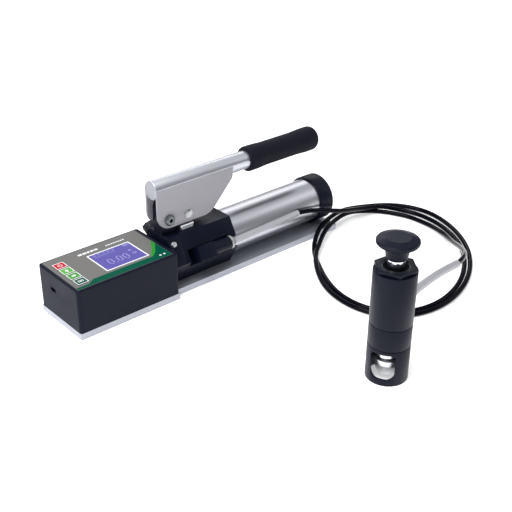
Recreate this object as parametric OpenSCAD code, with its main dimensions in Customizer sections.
// Portable pull-off adhesion tester: a hand pump with a digital readout,
// a hydraulic hose and a pull-off head. Millimetres, +Z up. X runs along the
// base from the readout's charging end, -Y is the side with the hose, and
// z = 0 is the underside of the base plate and of the pull-off head.

/* [Base plate] */
// Length of the base plate
base_len = 360; // [350:1:370]
// Width of the base under the readout
base_w = 74; // [72:1:78]
// Width of the base under the pump
pump_base_w = 60; // [56:1:62]
// Thickness of the base plate
base_t = 7; // [6:0.5:7]

/* [Readout] */
// Length of the readout box
box_len = 120; // [118:1:120]
// Height of the readout's top above the floor
box_top = 55; // [53:1:57]
// Height of the readout's screw-on lid
lid_h = 3.5; // [3:0.5:5]
// Wall thickness of the readout box
box_wall = 3; // [2.5:0.5:3.5]

/* [Pump] */
// Width across the flats of the hexagonal pump block
hex_af = 55; // [54:0.5:55]
// X of the block's rear face
block_rear = 205.5; // [204:0.5:207]
// Outside diameter of the oil reservoir tube
tube_d = 50; // [48:1:50]
// X where the reservoir cap starts
cap_x = 337; // [334:1:338]
// Bore of the pump plunger
plunger_d = 10; // [8:1:12]

/* [Lever] */
// Diameter of the lever bar
bar_d = 20.4; // [19:0.2:21]
// Height of the bar's axis
bar_z = 113.3; // [112:0.5:114]
// Diameter of the foam grip at its ends
grip_d = 28; // [26:1:30]

/* [Pull-off head] */
// X of the head's axis
head_x = 185; // [180:1:190]
// Y of the head's axis
head_y = -267; // [-270:1:-264]
// Outside diameter of the head
head_d = 40; // [39:1:41]
// Height of the head's cylinder above the floor
head_h = 112; // [111:0.5:112]

/* [Hose] */
// Outside diameter of the hydraulic hose
hose_d = 5.5; // [5:0.5:6]

/* [Hidden] */
$fn = 64;
eps = 0.01;

// Readout
box_r = 3.5;
lid_z = box_top - lid_h;
label_t = 0.4;
label_x = [3, 114.5];
label_y = 34.6;
window_x = [44, 95];
window_y = [-21.7, 17.4];
key_size = [12.4, 11.4];
key_pitch = 12.95;
key_x = 14;
key_ys = [for (i = [0:3]) 17.45 - i * key_pitch];
key_top = box_top + 0.5;
board_z = 43;
standoff_x = [22, 99];
standoff_y = 27;
usb_y = 10;
usb_z = 36.4;
usb_w = 9.6;
usb_h = 4.4;

// Pump block: a hexagon with flats at the bottom and the top
hex_z = base_t + hex_af / 2;
hex_r = hex_af / sqrt(3);
block_top = base_t + hex_af;
block_front = 121.5;
block_joint = 137;
tube_z = 35.5;
cap_d = 55;
cap_len = 20.4;
plunger_x = 152;
sensor_z = 20;
inlet_z = 40;
gallery_r = 2.2;
seat_z = 29;
gland_top = 67.7;
gland_half = [8.4, 10.5];

// Lever
pivot = [129.5, 79.5];
pin = [154, 79.3];
pivot_r = 3;
pin_r = 3;
bolt_head_r = 6;
slot_half = 7;
bleed_x = 126.6;
gusset_t = 2.4;
gusset_in = 8;
gusset_out = gusset_in + gusset_t;
bar_front = 115;
bar_end = 338;
grip_x = [241, 345];
gusset_top = 115;
gusset_rear = 215.3;
foot_r = 16;
foot_z = 70;
post_y = 7.4;

// Fitting on the pump's right side, turned with the hexagon's face
fit_y = -28.2;
fit_z = 38;
fit_side = 16.4;
fit_tilt = -30;
fit_x = [148.7, 170.7, 193.7, 201];
fit_r = 7.6;
elbow_x = 163;
pocket_gap = 0.6;
sleeve_r = 3.5;
head_sleeve_r = 4.1;

// Relief valve on the left upper face
relief_x = 128.5;
face_shift = 7.9;

// Pull-off head
skirt_top = 36.5;
ring_top = 58.8;
skirt_bore_r = 17.4;
window_dir = 205;
cap_top = 116;
knob_top = 143.8;
rod_r = 8.6;
port_z = 62;
port_dir = 17.5;
coupling_z = 6.4;
coupling_top = 35;
coupling_bore = 6.5;

// Hose route, chosen by hand: out of the pump sleeve, over the plate's end and
// down to the floor; and up from the floor into the head's sleeve.
pump_sleeve_route = [[200.9, -28.2, 38], [212, -28.6, 38.3], [231, -28.7, 38.9],
    [250, -28.8, 39.6], [273, -28.9, 40.4], [296, -29, 41.3]];
lead_route = [
    [295.9, -29, 41.3], [306, -30.4, 41.2], [318, -33, 39.4], [331, -35.4, 36],
    [346, -37, 31.4], [362, -37.2, 26], [377, -34.6, 21.4], [391, -31.4, 16.8],
    [401, -29.8, 13.6], [411, -29.6, 11.4],
];
tail_route = [
    [445, -122, 4], [440, -130, 5.6], [432, -140, 8.6], [421, -154, 13.6],
    [408, -169.5, 20], [394, -185.4, 27.6], [379, -201, 35], [366, -212.6, 40.6],
    [354, -220.6, 44.6], [341, -227, 47.8], [326.5, -231.7, 50.2],
];
sleeve_route = [
    [228.1, -253.4, 62], [242, -249, 61.2], [256, -245.8, 60], [270, -242.6, 58.6],
    [284, -239.6, 56.9], [298, -236.8, 54.9], [312, -234.2, 52.6], [326.5, -231.7, 50.2],
];

// Coil on the floor: an oval ring, its far side lifted over the plate's corner
coil_c = [359.5, -119];
coil_long = 132;
coil_short = 88.5;
coil_turn = 39.4;
coil_rings = 44;

function cat(a, b, c, d, t) =
    0.5 * (2 * b + (c - a) * t + (2 * a - 5 * b + 4 * c - d) * t * t
        + (3 * b - 3 * c + d - a) * t * t * t);
function at(p, i) = i < 0 ? 2 * p[0] - p[1] : i > len(p) - 1 ? 2 * p[len(p) - 1] - p[len(p) - 2] : p[i];
function smooth(p, n) = [
    for (i = [0:len(p) - 2], k = [0:n - 1]) cat(at(p, i - 1), p[i], p[i + 1], at(p, i + 2), k / n),
    p[len(p) - 1],
];
function unit(v) = v / norm(v);

// A closed tube of radius r along the points p
module swept(p, r, sides = 10) {
    n = len(p);
    dirs = [for (i = [0:n - 1]) unit(p[min(i + 1, n - 1)] - p[max(i - 1, 0)])];
    side = [for (d = dirs) unit(cross(d, [0, 0, 1]))];
    points = [
        for (i = [0:n - 1], k = [0:sides - 1])
            p[i] + r * cos(360 * k / sides) * side[i]
                + r * sin(360 * k / sides) * cross(side[i], dirs[i])
    ];
    polyhedron(points, concat(
        [[for (k = [0:sides - 1]) k]],
        [for (i = [0:n - 2], k = [0:sides - 1])
            [i * sides + k, (i + 1) * sides + k,
             (i + 1) * sides + (k + 1) % sides, i * sides + (k + 1) % sides]],
        [[for (k = [sides - 1:-1:0]) (n - 1) * sides + k]]), convexity = 6);
}

// A helical wire spring with its ends at z = 0 and z = h
module spring(r, wire, h, turns, sides = 6) {
    steps = turns * 12;
    swept([for (i = [0:steps])
        [r * cos(30 * i), r * sin(30 * i), wire + (h - 2 * wire) * i / steps]], wire, sides);
}

module rounded_slab(x0, x1, y0, y1, z0, z1, r) {
    translate([0, 0, z0]) linear_extrude(z1 - z0) {
        translate([x0 + r, y0]) square([x1 - x0 - 2 * r, y1 - y0]);
        translate([x0, y0 + r]) square([x1 - x0, y1 - y0 - 2 * r]);
        for (x = [x0 + r, x1 - r], y = [y0 + r, y1 - r]) translate([x, y]) circle(r);
    }
}

module block_box(x0, x1, y0, y1, z0, z1) {
    translate([x0, y0, z0]) cube([x1 - x0, y1 - y0, z1 - z0]);
}

module x_rod(x0, x1, y, z, r) {
    translate([x0, y, z]) rotate([0, 90, 0]) cylinder(h = x1 - x0, r = r);
}

module y_rod(x, z, y0, y1, r) {
    translate([x, y1, z]) rotate([90, 0, 0]) cylinder(h = y1 - y0, r = r);
}

module hex_bar(x0, x1) {
    translate([x0, 0, hex_z]) rotate([0, 90, 0]) rotate(30)
        cylinder(h = x1 - x0, r = hex_r, $fn = 6);
}

// The hose fitting's own axis: x along the pump, and its tilt with the face
module at_fitting() {
    translate([0, fit_y, fit_z]) rotate([fit_tilt, 0, 0]) children();
}

module at_head() {
    translate([head_x, head_y, 0]) children();
}

// Moves the origin from the front end to the middle of the base plate
module from_front() {
    translate([-base_len / 2, 0, 0]) children();
}

// An axis square to one of the hexagon's upper faces, z = 0 on the face
module on_face(x, side) {
    translate([x, 0, hex_z]) rotate([-side * 60, 0, 0])
        translate([0, -side * face_shift, hex_af / 2]) children();
}

/* Base */
box_screws = [[12, 28], [108, 28], [12, -28], [108, -28]];
block_screws = [[129, 10], [129, -10], [190, 10], [190, -10]];
cap_screws = [[345, 0]];
screw_r = 2;
long_screw = 13.2;
short_screw = 9.7;
screw_spots = concat(box_screws, block_screws, cap_screws);

module base_plate() {
    from_front() color("silver") difference() {
        union() {
            block_box(0, box_len, -base_w / 2, base_w / 2, 0, base_t);
            block_box(box_len - 1, base_len, -pump_base_w / 2, pump_base_w / 2, 0, base_t);
        }
        for (p = screw_spots) translate([p[0], p[1], 0]) {
            translate([0, 0, -1]) cylinder(h = base_t + 2, r = screw_r + 0.2);
            translate([0, 0, -1]) cylinder(h = 4.2, r = 4.2);
        }
    }
}

module base_screw(spot, length) {
    translate([spot[0], spot[1], 0.3]) difference() {
        union() {
            cylinder(h = 2.9, r = 4);
            cylinder(h = length, r = screw_r);
        }
        translate([0, 0, -1]) cylinder(h = 2.6, r = 1.5);
    }
}

module base_screws() {
    from_front() color("dimgray") {
        for (p = concat(box_screws, block_screws)) base_screw(p, long_screw);
        for (p = cap_screws) base_screw(p, short_screw);
    }
}

/* Readout */
module readout_box() {
    from_front() color([0.14, 0.16, 0.19]) difference() {
        rounded_slab(0, box_len, -base_w / 2, base_w / 2, base_t, lid_z, box_r);
        difference() {
            rounded_slab(box_wall, box_len - box_wall, box_wall - base_w / 2, base_w / 2 - box_wall,
                base_t + box_wall, lid_z + 1, 1.5);
            for (p = box_screws) translate([p[0], p[1], 0]) cylinder(h = 20, r = 5);
        }
        for (p = box_screws) translate([p[0], p[1], 0]) cylinder(h = 14.2, r = screw_r + 0.02);
        block_box(-1, box_wall + 1, usb_y - usb_w / 2, usb_y + usb_w / 2,
            usb_z - usb_h / 2, usb_z + usb_h / 2);
        x_rod(box_len - 5, box_len + 1, 0, sensor_z, 8.4);
    }
}

module readout_lid() {
    from_front() color([0.14, 0.16, 0.19]) difference() {
        hull() for (x = [box_r, box_len - box_r], y = [box_r - base_w / 2, base_w / 2 - box_r])
            translate([x, y, lid_z]) {
                cylinder(h = lid_h - 2, r = box_r, $fn = 32);
                translate([0, 0, lid_h - 2]) rotate_extrude($fn = 32) intersection() {
                    translate([box_r - 2, 0]) circle(2, $fn = 24);
                    square([box_r, 2]);
                }
                cylinder(h = lid_h, r = box_r - 2, $fn = 32);
            }
        block_box(label_x[0], label_x[1], -label_y, label_y, box_top - label_t, box_top + 1);
        block_box(5, box_len - 7, -32, 31, lid_z - 1, lid_z + 1.8);
        block_box(window_x[0], window_x[1], window_y[0], window_y[1], lid_z - 1, box_top + 1);
        for (y = key_ys) block_box(key_x - key_size[0] / 2 + 1, key_x + key_size[0] / 2 - 1,
            y - key_size[1] / 2 + 1, y + key_size[1] / 2 - 1, lid_z - 1, box_top + 1);
    }
}

module front_label() {
    from_front() color([0.55, 0.53, 0.5]) difference() {
        block_box(label_x[0], label_x[1], -label_y, label_y, box_top - label_t, box_top);
        block_box(window_x[0], window_x[1], window_y[0], window_y[1], box_top - 1, box_top + 1);
        for (y = key_ys) block_box(key_x - key_size[0] / 2 - 0.15, key_x + key_size[0] / 2 + 0.15,
            y - key_size[1] / 2 - 0.15, y + key_size[1] / 2 + 0.15, box_top - 1, box_top + 1);
    }
}

module display_window() {
    from_front() color([0.42, 0.4, 0.75]) block_box(window_x[0], window_x[1], window_y[0], window_y[1],
        box_top - 1.6, box_top);
}

module lcd_module() {
    from_front() color("gray") block_box(window_x[0] - 3, window_x[1] + 3, window_y[0] - 3, window_y[1] + 3,
        board_z + 1.6, board_z + 7);
}

module circuit_board() {
    from_front() color("darkgreen") difference() {
        block_box(5, 113, -31, 31, board_z, board_z + 1.6);
        for (x = standoff_x, y = [-standoff_y, standoff_y])
            translate([x, y, board_z - 1]) cylinder(h = 4, r = 1.7);
    }
}

module board_standoffs() {
    from_front() color("goldenrod") for (x = standoff_x, y = [-standoff_y, standoff_y])
        translate([x, y, base_t + box_wall]) {
        cylinder(h = board_z - base_t - box_wall, r = 2.6, $fn = 6);
        cylinder(h = board_z - base_t - box_wall + 3, r = 1.6);
    }
}

module tact_switches() {
    from_front() color("black") for (y = key_ys) translate([key_x, y, board_z + 1.6]) {
        translate([-3, -3, 0]) cube([6, 6, 3.5]);
        cylinder(h = 5.2, r = 1.7);
    }
}

module battery() {
    from_front() color("steelblue")
        rounded_slab(26, 98, -24, 24, base_t + box_wall, base_t + box_wall + 18, 3);
}

module usb_socket() {
    from_front() color("silver") difference() {
        block_box(box_wall + 1.2, 13, usb_y - 4.6, usb_y + 4.6, usb_z - 2.1, board_z);
        block_box(0, 12, usb_y - 4, usb_y + 4, usb_z - 1.6, usb_z + 1.6);
    }
}

module key_cap(y) {
    half = key_size / 2;
    stem = [half[0] - 1.3, half[1] - 1.3];
    translate([key_x, y, 0]) {
        block_box(-half[0], half[0], -half[1], half[1], box_top + 0.02, key_top);
        block_box(-stem[0], stem[0], -stem[1], stem[1], board_z + 7.3, key_top);
    }
}

module key_power() { from_front() color("firebrick") key_cap(key_ys[0]); }
module key_up() { from_front() color("limegreen") key_cap(key_ys[1]); }
module key_right() { from_front() color("forestgreen") key_cap(key_ys[2]); }
module key_set() { from_front() color("darkslategray") key_cap(key_ys[3]); }

module pressure_sensor() {
    from_front() color("lightgray") {
        x_rod(108, block_front - 0.3, 0, sensor_z, 8);
        x_rod(block_front - 0.31, 131, 0, sensor_z, 5.98);
        x_rod(104, 108.01, 0, sensor_z, 5);
    }
}

module sensor_cable() {
    route = [[103.7, 0, sensor_z], [101.6, 0, 20.3], [100, 0, 22.6], [99.7, 0, 30],
        [99.7, 0, 37], [99.7, 0, board_z - 0.03]];
    from_front() color("red") swept(smooth(route, 3), 1.2, 8);
}

/* Pump block */
module gallery() {
    x_rod(120, 166, 0, sensor_z, gallery_r);
}

module front_block() {
    from_front() color([0.12, 0.13, 0.17]) difference() {
        union() {
            translate([block_front, 0, hex_z]) rotate([0, 90, 0]) rotate(30)
                cylinder(h = 1, r1 = hex_r - 1.1, r2 = hex_r, $fn = 6);
            hex_bar(block_front + 1 - eps, block_joint - 0.3);
        }
        gallery();
        x_rod(block_front - 1, 131.02, 0, sensor_z, 6);
        for (p = block_screws) translate([p[0], p[1], 0]) cylinder(h = 14, r = screw_r + 0.02);
        on_face(bleed_x, -1) translate([0, 0, -9]) cylinder(h = 20, r = 3);
        on_face(relief_x, 1) translate([0, 0, -14]) cylinder(h = 30, r = 4);
    }
}

module bleed_screw() {
    from_front() color("white") on_face(bleed_x, -1) {
        translate([0, 0, -8.9]) cylinder(h = 8.92, r = 2.98);
        difference() {
            cylinder(h = 2.4, r1 = 3.4, r2 = 2.7);
            translate([0, 0, 1.2]) cylinder(h = 2, r = 1.3);
        }
    }
}

module pump_block() {
    from_front() color([0.12, 0.13, 0.17]) difference() {
        hex_bar(block_joint, block_rear);
        gallery();
        // plunger bore, its seal, and the outlet valve's chamber below
        translate([plunger_x, 0, seat_z + 2]) cylinder(h = 60, r = plunger_d / 2 + 0.05);
        translate([plunger_x, 0, block_top - 8]) cylinder(h = 20, r = 8);
        translate([plunger_x, 0, sensor_z - 2]) cylinder(h = 20, r = 2.2);
        translate([plunger_x, 0, sensor_z - 2]) cylinder(h = seat_z - sensor_z + 2, r = 4);
        // inlet from the reservoir with its valve chamber
        x_rod(plunger_x + 3, block_rear + 1, 0, inlet_z, 2.2);
        x_rod(168, block_rear + 1, 0, inlet_z, 4);
        for (p = block_screws) translate([p[0], p[1], 0]) cylinder(h = 14, r = screw_r + 0.02);
        // pocket for the hose elbow, open on the right and at the rear
        at_fitting() translate([0, -fit_side, 0])
            block_box(140, fit_x[2] + 3, -30, 1.5 * fit_side + pocket_gap,
                -fit_side / 2 - pocket_gap, fit_side / 2 + pocket_gap);
        at_fitting() block_box(fit_x[2] + 2, block_rear + 1, -30, 6, -6, 5);
        translate([fit_x[2] + 2.6, fit_y, fit_z]) rotate([0, 90, 0])
            cylinder(h = fit_x[3] - fit_x[2] - 2.2, r1 = fit_r + 0.6, r2 = 5.2);
        at_fitting() y_rod(elbow_x, 0, 0, 16, 5.02);
        at_fitting() y_rod(elbow_x, 0, 15, 33, 2);
        // groove that takes the reservoir tube
        difference() {
            x_rod(block_rear - 8, block_rear + 1, 0, tube_z, tube_d / 2 - 3.98);
            x_rod(block_rear - 9, block_rear + 2, 0, tube_z, tube_d / 2 - 6);
        }
    }
}

module relief_knob() {
    from_front() color([0.1, 0.1, 0.12]) on_face(relief_x, 1) difference() {
        union() {
            translate([0, 0, 1]) cylinder(h = 8.5, r = 6.8);
            for (a = [0:45:315]) rotate(a) translate([6.2, 0, 1]) cylinder(h = 8.5, r = 1.3);
        }
        cylinder(h = 7, r = 2.52);
    }
}

module relief_stem() {
    from_front() color("silver") on_face(relief_x, 1) {
        translate([0, 0, -13]) cylinder(h = 13.4, r = 3.94);
        translate([0, 0, 0.39]) cylinder(h = 6.6, r = 2.5);
    }
}

module lever_post() {
    from_front() color([0.1, 0.1, 0.12]) difference() {
        union() {
            block_box(block_front, 138.5, -post_y, post_y, block_top, 91);
            y_rod(pivot[0], 90.5, -post_y, post_y, 8);
        }
        y_rod(pivot[0], pivot[1], -20, 20, pivot_r + 0.02);
    }
}

module pivot_bolt() {
    from_front() color("lightgray") {
        y_rod(pivot[0], pivot[1], -gusset_out - 0.41, gusset_out + 4.6, pivot_r);
        difference() {
            union() {
                y_rod(pivot[0], pivot[1], -gusset_out - 2, -gusset_out - 0.4, bolt_head_r);
                translate([pivot[0], -gusset_out - 1.99, pivot[1]]) rotate([90, 0, 0])
                    cylinder(h = 1.4, r1 = bolt_head_r, r2 = bolt_head_r - 1.6);
            }
            translate([pivot[0], -gusset_out - 2, pivot[1]]) rotate([90, 0, 0])
                cylinder(h = 4, r = 2.3, $fn = 6);
        }
    }
}

module pivot_nut() {
    from_front() color("lightgray") difference() {
        translate([pivot[0], gusset_out + 0.4, pivot[1]]) rotate([-90, 0, 0])
            cylinder(h = 4, r = 5.6, $fn = 6);
        y_rod(pivot[0], pivot[1], 0, 30, pivot_r + 0.01);
    }
}

module gland_plate() {
    from_front() color("white") difference() {
        block_box(plunger_x - gland_half[0], plunger_x + gland_half[0],
            -gland_half[1], gland_half[1], block_top, gland_top);
        translate([plunger_x, 0, block_top - 1]) cylinder(h = 20, r = plunger_d / 2 + 0.05);
        for (s = [-1, 1])
            block_box(plunger_x - gland_half[0] + 1.6, plunger_x + gland_half[0] - 1.6,
                s * gland_half[1] - 0.8, s * gland_half[1] + 0.8, block_top + 1.3, gland_top - 1.3);
    }
}

module plunger_seal() {
    from_front() color("dimgray") translate([plunger_x, 0, 0]) difference() {
        translate([0, 0, block_top - 7.9]) cylinder(h = 7.8, r = 7.98);
        translate([0, 0, block_top - 12]) cylinder(h = 20, r = plunger_d / 2 + 0.03);
    }
}

module check_balls() {
    from_front() color("silver") {
        translate([plunger_x, 0, seat_z - 3.6]) sphere(3.2);
        translate([171.6, 0, inlet_z]) sphere(3.2);
    }
}

module check_springs() {
    from_front() color("silver") {
        translate([plunger_x, 0, sensor_z - 1.9]) spring(2.6, 0.35, 3.9, 2);
        translate([175, 0, inlet_z]) rotate([0, 90, 0]) spring(2.6, 0.35, 12, 4);
    }
}

/* Reservoir */
module reservoir_tube() {
    from_front() color("silver") difference() {
        union() {
            x_rod(block_rear + 0.02, cap_x + 14, 0, tube_z, tube_d / 2);
            x_rod(block_rear - 7.9, block_rear + 1, 0, tube_z, tube_d / 2 - 4);
        }
        x_rod(block_rear - 9, cap_x + 20, 0, tube_z, tube_d / 2 - 5.98);
        x_rod(block_rear + 8, cap_x + 20, 0, tube_z, tube_d / 2 - 3);
    }
}

module reservoir_cap() {
    from_front() color([0.12, 0.13, 0.17]) difference() {
        union() {
            x_rod(cap_x, cap_x + cap_len - 2, 0, tube_z, cap_d / 2);
            translate([cap_x + cap_len - 2, 0, tube_z]) rotate([0, 90, 0])
                cylinder(h = 2, r1 = cap_d / 2, r2 = cap_d / 2 - 2);
            block_box(cap_x + 1, cap_x + 15, -8, 8, base_t, tube_z - 20);
        }
        x_rod(cap_x - 1, cap_x + 14.1, 0, tube_z, tube_d / 2 + 0.02);
        x_rod(cap_x, cap_x + 30, 0, tube_z, 6);
        for (p = cap_screws) translate([p[0], p[1], 0]) cylinder(h = short_screw + 0.5, r = screw_r + 0.02);
        x_rod(cap_x + 14, cap_x + 16, 0, tube_z, 20);
    }
}

module reservoir_bladder() {
    from_front() color("dimgray") {
        x_rod(block_rear + 12, cap_x - 10, 0, tube_z, 18);
        translate([cap_x - 10, 0, tube_z]) sphere(18);
    }
}

module filler_plug() {
    from_front() color("silver") difference() {
        union() {
            x_rod(cap_x + 16.4, cap_x + cap_len + 0.03, 0, tube_z, 5.98);
            x_rod(cap_x + cap_len + 0.02, cap_x + cap_len + 2.4, 0, tube_z, 8);
        }
        translate([cap_x + cap_len + 1, 0, tube_z]) rotate([0, 90, 0]) cylinder(h = 4, r = 4, $fn = 6);
    }
}

/* Lever */
module lever_bar() {
    from_front() color("gainsboro") difference() {
        x_rod(bar_front, bar_end, 0, bar_z, bar_d / 2);
        for (s = [-1, 1]) block_box(bar_front - 1, gusset_rear + 0.3,
            min(s * gusset_in, s * (gusset_out + 1)), max(s * gusset_in, s * (gusset_out + 1)),
            0, gusset_top + 0.02);
    }
}

// Side plate outline in X and Z: round front foot, slanted rear edge
module gusset_shape() {
    difference() {
        polygon(concat(
            [for (a = [180:6:270]) [bar_front + foot_r + foot_r * cos(a), foot_z + foot_r * (1 + sin(a))]],
            [[178, foot_z], [184, 72], [190, 76.3], [213.5, 101.5], [215, 104],
             [gusset_rear, 106], [gusset_rear, gusset_top], [bar_front, gusset_top]]));
        translate(pivot) circle(pivot_r + 0.05);
        translate(pin) circle(pin_r + 0.01);
    }
}

module gusset(y1) {
    translate([0, y1, 0]) rotate([90, 0, 0]) linear_extrude(gusset_t) gusset_shape();
}

module gusset_right() { from_front() color("gainsboro") gusset(-gusset_in); }
module gusset_left() { from_front() color("gainsboro") gusset(gusset_out); }

module foam_grip() {
    r = grip_d / 2;
    end_r = 8;
    waist = r - 0.8;
    length = grip_x[1] - grip_x[0];
    from_front() color([0.1, 0.1, 0.12]) translate([grip_x[0], 0, bar_z]) rotate([0, 90, 0]) difference() {
        rotate_extrude() union() {
            polygon([[0, 0], [r - 1.5, 0], [r - 0.4, 0.5], [r, 2], [r, 12], [waist, 26],
                [waist, 72], [r, 86], [r, length - end_r], [0, length - end_r]]);
            intersection() {
                translate([r - end_r, length - end_r]) circle(end_r);
                square([40, 160]);
            }
            translate([0, length - end_r - 1]) square([r - end_r + eps, end_r + 1]);
        }
        translate([0, 0, -1]) cylinder(h = bar_end - grip_x[0] + 1.1, r = bar_d / 2 + 0.02);
    }
}

module drive_pin() {
    from_front() color("silver") y_rod(pin[0], pin[1], -gusset_out - 2, gusset_out + 2, pin_r);
}

module pin_clips() {
    from_front() color("gray") for (s = [-1, 1]) difference() {
        y_rod(pin[0], pin[1], s * (gusset_out + 0.7) - 0.5, s * (gusset_out + 0.7) + 0.5, 4.6);
        y_rod(pin[0], pin[1], -20, 20, pin_r + 0.01);
        block_box(pin[0] - 1.8, pin[0] + 1.8, -20, 20, pin[1], pin[1] + 9);
    }
}

/* Plunger, driven by the lever's pin through a slot in the crosshead */
module plunger() {
    from_front() color("lightgray") translate([plunger_x, 0, seat_z + 2.5])
        cylinder(h = gland_top + 4 - seat_z - 2.5, r = plunger_d / 2);
}

module crosshead() {
    from_front() color("lightgray") difference() {
        block_box(plunger_x - 10, plunger_x + 10, -post_y, post_y, gland_top + 0.4, pin[1] + 8);
        translate([plunger_x, 0, gland_top]) cylinder(h = 4.02, r = plunger_d / 2 + 0.02);
        block_box(plunger_x - slot_half, plunger_x + slot_half, -10, 10,
            pin[1] - pin_r - 0.55, pin[1] + pin_r + 0.55);
    }
}

/* Hose fitting on the pump */
module hose_elbow() {
    from_front() color([0.11, 0.12, 0.15]) {
        at_fitting() block_box(fit_x[0], fit_x[1], -fit_side / 2, fit_side / 2,
            -fit_side / 2, fit_side / 2);
        at_fitting() y_rod(elbow_x, 0, fit_side / 2 - eps, 15, 5);
        x_rod(fit_x[1] - eps, fit_x[2], fit_y, fit_z, fit_r);
    }
}

module elbow_ferrule() {
    from_front() color("gray") {
        x_rod(fit_x[2] + 0.02, fit_x[2] + 3, fit_y, fit_z, fit_r - 0.2);
        translate([fit_x[2] + 2.99, fit_y, fit_z]) rotate([0, 90, 0])
            cylinder(h = fit_x[3] - fit_x[2] - 3, r1 = fit_r - 0.2, r2 = 4.4);
    }
}

module pump_sleeve() { from_front() color("silver") swept(smooth(pump_sleeve_route, 2), sleeve_r, 12); }
module hose_lead() { from_front() color([0.08, 0.08, 0.1]) swept(smooth(lead_route, 2), hose_d / 2, 10); }
module hose_tail() { from_front() color([0.08, 0.08, 0.1]) swept(smooth(tail_route, 2), hose_d / 2, 10); }
module head_sleeve() { from_front() color("silver") swept(smooth(sleeve_route, 2), head_sleeve_r, 12); }

// Outer strand of the coil, and how far the inner strand lies inside it
function coil_r(a) = coil_long * coil_short / sqrt(pow(coil_short * cos(a - coil_turn), 2)
    + pow(coil_long * sin(a - coil_turn), 2));
function bump(a, mid, half) =
    let (d = abs(((a - mid + 540) % 360) - 180)) d > half ? 0 : 0.5 + 0.5 * cos(180 * d / half);
function coil_in(a) = 7 + 21 * bump(a, 22, 56) - 4.5 * bump(a, 145, 40);
function coil_lift(a) = 7.3 * min(1, 1.6 * bump(a, 94, 46));
function coil_h(a) = 6 + 5.4 * bump(a, 145, 30) + 4 * bump(a, 55, 24) + 3 * bump(a, -8, 20);

// One closed ring with the outer shape of the laid turns
module hose_coil() {
    sides = 8;
    n = coil_rings;
    points = [
        for (i = [0:n - 1], k = [0:sides - 1])
            let (a = 360 * i / n,
                mid = coil_r(a) - coil_in(a) / 2,
                half_w = coil_in(a) / 2 + hose_d / 2,
                half_h = coil_h(a) / 2,
                r = mid + half_w * cos(360 * (k + 0.5) / sides) / cos(180 / sides),
                z = half_h + coil_lift(a) + half_h * sin(360 * (k + 0.5) / sides) / cos(180 / sides))
            [coil_c[0] + r * cos(a), coil_c[1] + r * sin(a), z]
    ];
    from_front() color([0.08, 0.08, 0.1]) polyhedron(points, [
        for (i = [0:n - 1], k = [0:sides - 1])
            [i * sides + k, i * sides + (k + 1) % sides,
             ((i + 1) % n) * sides + (k + 1) % sides, ((i + 1) % n) * sides + k]
    ], convexity = 6);
}

/* Pull-off head */
module head_port() {
    from_front() color("dimgray") at_head() translate([0, 0, port_z]) rotate(port_dir) {
        x_rod(head_d / 2 - 5, 30, 0, 0, 5);
        x_rod(30 - eps, 45.3, 0, 0, 4.2);
    }
}

module head_cylinder() {
    from_front() color([0.13, 0.14, 0.18]) at_head() difference() {
        union() {
            translate([0, 0, ring_top + 0.6]) cylinder(h = head_h - ring_top - 0.6, r = head_d / 2);
            translate([0, 0, ring_top - 8]) cylinder(h = 9, r = head_d / 2 - 1.5);
        }
        translate([0, 0, ring_top - 9]) cylinder(h = 90, r = 14);
        translate([0, 0, port_z]) rotate(port_dir) x_rod(10, 40, 0, 0, 5.02);
    }
}

module head_ring() {
    from_front() color([0.13, 0.14, 0.18]) at_head() difference() {
        union() {
            translate([0, 0, skirt_top + 0.6]) cylinder(h = ring_top - skirt_top - 0.6, r = head_d / 2);
            translate([0, 0, skirt_top - 4]) cylinder(h = 5, r = skirt_bore_r - 0.02);
        }
        translate([0, 0, ring_top - 8.02]) cylinder(h = 20, r = head_d / 2 - 1.48);
        translate([0, 0, 30]) cylinder(h = 40, r = 12.4);
        translate([0, 0, port_z]) rotate(port_dir) x_rod(10, 40, 0, 0, 5.02);
    }
}

// Rounded window shape, half wide and centred, used to cut through the skirt
module skirt_windows() {
    rotate(window_dir) rotate([90, 0, 90]) translate([0, 0, -30]) linear_extrude(60) {
        translate([-11.4, 14]) square([22.8, 15.3]);
        translate([-3.4, 6]) square([6.8, 9]);
        for (x = [-3.4, 3.4]) translate([x, 14]) circle(8);
        for (x = [-7.4, 7.4]) translate([x, 29.3]) circle(4);
        translate([-7.4, 28]) square([14.8, 5.3]);
    }
}

module head_skirt() {
    from_front() color([0.13, 0.14, 0.18]) at_head() difference() {
        cylinder(h = skirt_top, r = head_d / 2);
        translate([0, 0, -1]) cylinder(h = skirt_top + 2, r = skirt_bore_r);
        skirt_windows();
    }
}

module hex_cap() {
    from_front() color([0.12, 0.13, 0.16]) at_head() difference() {
        union() {
            translate([0, 0, cap_top - 3]) rotate(-7) cylinder(h = 3, r = 20, $fn = 6);
            translate([0, 0, head_h + 0.02]) cylinder(h = cap_top - head_h - 2, r = 16.6);
            translate([0, 0, head_h - 10]) cylinder(h = 11, r = 13.98);
        }
        translate([0, 0, head_h - 11]) cylinder(h = 30, r = 12.6);
    }
}

module rod_guide() {
    from_front() color("silver") at_head() difference() {
        translate([0, 0, head_h - 9.9]) cylinder(h = 13.2, r = 12.58);
        translate([0, 0, head_h - 4]) cylinder(h = 20, r = 11.9);
        translate([0, 0, head_h - 11]) cylinder(h = 30, r = rod_r + 0.05);
    }
}

module head_rod() {
    from_front() color("silver") at_head() {
        translate([0, 0, coupling_top + 3.02]) cylinder(h = 91, r = rod_r);
        translate([0, 0, 74]) cylinder(h = 12, r = 13.95);
    }
}

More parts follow.
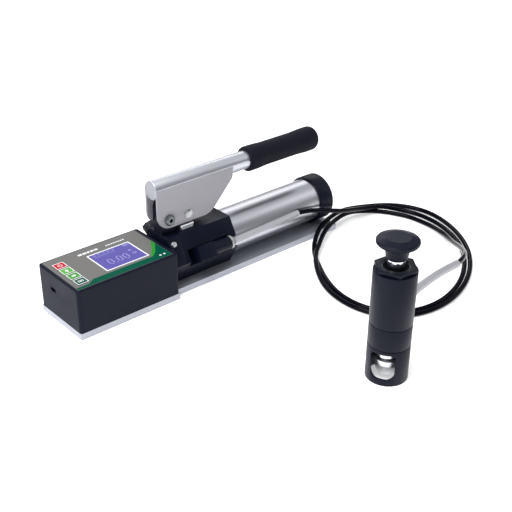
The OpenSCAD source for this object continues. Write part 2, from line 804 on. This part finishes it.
module head_knob() {
    from_front() color([0.13, 0.14, 0.17]) at_head() difference() {
        rotate_extrude() polygon([
            [0, 123.4], [9.4, 123.4], [9.8, 124], [10.8, 130.8], [11.4, 133.2], [18.4, 137.2],
            [19.3, 138.4], [19.3, 140.6], [18.6, 141.4], [11.5, knob_top], [0, knob_top],
        ]);
        translate([0, 0, 122]) cylinder(h = 7.2, r = rod_r + 0.02);
    }
}

module coupling_body() {
    from_front() color("gainsboro") at_head() difference() {
        union() {
            translate([0, 0, 24.8]) cylinder(h = coupling_top - 24.8, r = 11.8);
            translate([0, 0, coupling_z]) cylinder(h = 20, r = 8.6);
            translate([0, 0, coupling_top - eps]) cylinder(h = 3, r = 10);
        }
        translate([0, 0, coupling_z - 1]) cylinder(h = 13, r = coupling_bore);
    }
}

module coupling_sleeve() {
    from_front() color("gainsboro") at_head() difference() {
        union() {
            translate([0, 0, coupling_z + 0.1]) cylinder(h = 10, r1 = 10, r2 = 13.4);
            translate([0, 0, coupling_z + 10.09]) cylinder(h = 6, r1 = 13.4, r2 = 14.4);
        }
        translate([0, 0, coupling_z - 1]) cylinder(h = 30, r = 8.65);
        translate([0, 0, coupling_z + 6]) cylinder(h = 30, r = 11);
    }
}

module coupling_spring() {
    from_front() color("gray") at_head() translate([0, 0, coupling_z + 6.02]) spring(9.85, 0.5, 12.3, 4);
}

base_plate();
base_screws();
readout_box();
readout_lid();
front_label();
display_window();
lcd_module();
circuit_board();
board_standoffs();
tact_switches();
battery();
usb_socket();
key_power();
key_up();
key_right();
key_set();
pressure_sensor();
sensor_cable();
front_block();
pump_block();
bleed_screw();
lever_post();
pivot_bolt();
pivot_nut();
gland_plate();
plunger_seal();
check_balls();
check_springs();
relief_knob();
relief_stem();
reservoir_tube();
reservoir_cap();
reservoir_bladder();
filler_plug();
lever_bar();
gusset_right();
gusset_left();
foam_grip();
drive_pin();
pin_clips();
plunger();
crosshead();
hose_elbow();
elbow_ferrule();
pump_sleeve();
hose_lead();
hose_coil();
hose_tail();
head_sleeve();
head_port();
head_cylinder();
head_ring();
head_skirt();
hex_cap();
rod_guide();
head_rod();
head_knob();
coupling_body();
coupling_sleeve();
coupling_spring();
